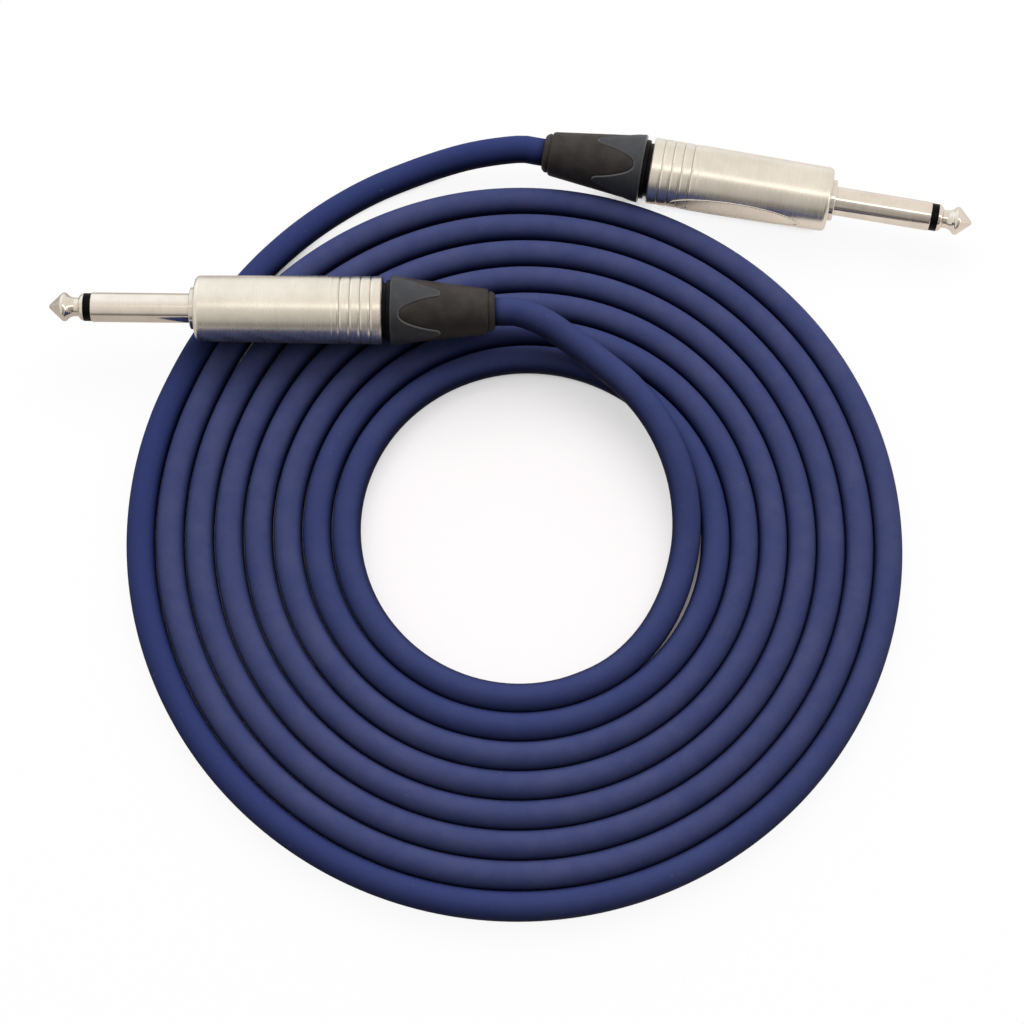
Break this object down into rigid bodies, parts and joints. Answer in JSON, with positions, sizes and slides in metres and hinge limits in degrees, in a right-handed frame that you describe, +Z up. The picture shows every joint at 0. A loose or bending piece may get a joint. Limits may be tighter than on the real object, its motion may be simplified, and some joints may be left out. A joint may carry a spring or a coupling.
{
  "type": "instrument cable",
  "caption": "Screened instrument cable wound in a flat round coil, with a straight mono phone plug on each end whose screw gland clamps the cable.",
  "frame": {"origin": "on the table, midway between the two plugs: the bottom centre of the box round the plugs, without the free cable", "axes": "+X from the left plug to the right plug, +Y away from the coil's centre towards the right plug, +Z up from the table"},
  "size_m": [0.201, 0.1751, 0.0212],
  "materials": {
    "jacket_blue": "soft matte moulded jacket, dark blue",
    "contact_nickel": "bright nickel plating on turned brass",
    "shell_nickel": "satin nickel plating with fine turning marks",
    "ring_black": "glossy black insulating ring",
    "insulator_ivory": "turned insulating sleeve",
    "insert_grey": "moulded insert",
    "tag_brass": "tinned brass strip",
    "clamp_grey": "moulded clamp",
    "bush_black": "black moulded bush, satin",
    "cover_slate": "slate grey hard plastic, fine satin texture",
    "boot_rubber": "brown black overmoulded rubber, matte",
    "core_white": "polyethylene insulation",
    "wire_copper": "bare stranded copper"
  },
  "bodies": {
    "root": {"cable_coil": "jacket_blue", "left_lead": "jacket_blue", "right_lead": "jacket_blue", "left_tip_contact": "contact_nickel", "left_tip_ring": "ring_black", "left_rod_sleeve": "insulator_ivory", "left_sleeve_contact": "contact_nickel", "left_shell": "shell_nickel", "left_insert_body": "insert_grey", "left_tip_tag": "tag_brass", "left_ground_tag": "tag_brass", "left_cable_end": "jacket_blue", "left_core_insulation": "core_white", "left_core_wire": "wire_copper", "left_screen_wire": "wire_copper", "right_tip_contact": "contact_nickel", "right_tip_ring": "ring_black", "right_rod_sleeve": "insulator_ivory", "right_sleeve_contact": "contact_nickel", "right_shell": "shell_nickel", "right_insert_body": "insert_grey", "right_tip_tag": "tag_brass", "right_ground_tag": "tag_brass", "right_cable_end": "jacket_blue", "right_core_insulation": "core_white", "right_core_wire": "wire_copper", "right_screen_wire": "wire_copper"},
    "left_clamp": {"left_chuck": "clamp_grey"},
    "left_gland": {"left_threaded_bush": "bush_black", "left_grip_cover": "cover_slate", "left_boot": "boot_rubber"},
    "right_clamp": {"right_chuck": "clamp_grey"},
    "right_gland": {"right_threaded_bush": "bush_black", "right_grip_cover": "cover_slate", "right_boot": "boot_rubber"}
  },
  "joints": [
    {"name": "left_gland_travel", "type": "slide", "parent": "root", "child": "left_clamp", "axis": [0.9999, -0.0122, 0], "range_m": [0, 0.004]},
    {"name": "left_gland_turn", "type": "hinge", "parent": "left_clamp", "child": "left_gland", "pos_m": [-0.0699, -0.0191, 0.0136], "axis": [0.9999, -0.0122, 0], "range_deg": [0, 1440]},
    {"name": "right_gland_travel", "type": "slide", "parent": "root", "child": "right_clamp", "axis": [-0.9829, 0.184, 0], "range_m": [0, 0.004]},
    {"name": "right_gland_turn", "type": "hinge", "parent": "right_clamp", "child": "right_gland", "pos_m": [0.0706, 0.0099, 0.0076], "axis": [-0.9829, 0.184, 0], "range_deg": [0, 1440]}
  ],
  "couplings": [
    {"joint": "left_gland_travel", "follows": "left_gland_turn", "m_per_rad": 0.00015915},
    {"joint": "right_gland_travel", "follows": "right_gland_turn", "m_per_rad": 0.00015915}
  ]
}
